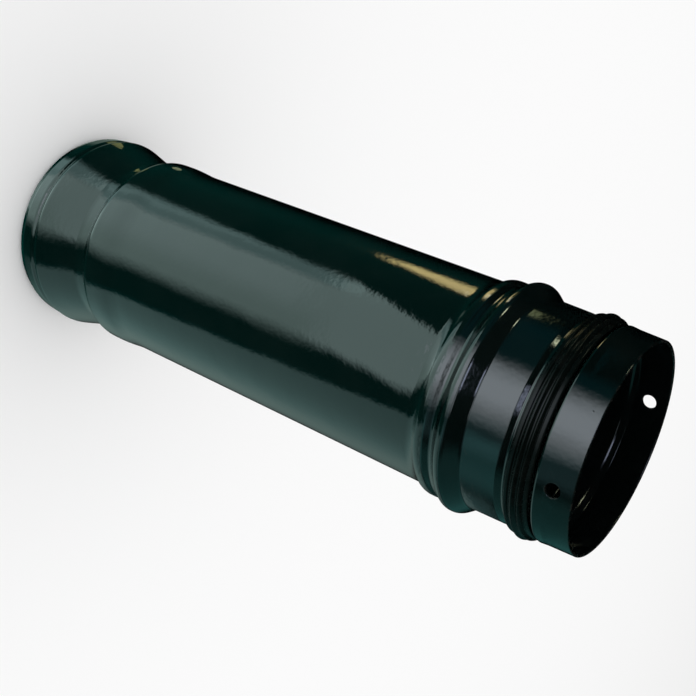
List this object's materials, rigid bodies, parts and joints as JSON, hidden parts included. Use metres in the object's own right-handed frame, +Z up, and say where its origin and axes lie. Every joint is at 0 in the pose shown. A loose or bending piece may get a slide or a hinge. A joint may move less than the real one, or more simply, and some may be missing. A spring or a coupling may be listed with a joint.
{
  "type": "stove pipe",
  "caption": "Straight round stove pipe in black enamelled sheet steel, with a flared collar at one end and a beaded spigot with a ribbed rubber seal and screw holes at the other.",
  "frame": {"origin": "the middle of the collar's rim, on the pipe's axis, at the end the pipe stands on", "axes": "+Z runs up the pipe's axis from the collar to the spigot's mouth, and the two screw holes face -Y and +Y"},
  "size_m": [0.0886, 0.0886, 0.266],
  "materials": {
    "enamel": "gloss",
    "rubber": "satin"
  },
  "bodies": {
    "root": {"pipe": "enamel", "seal": "rubber"}
  },
  "joints": []
}
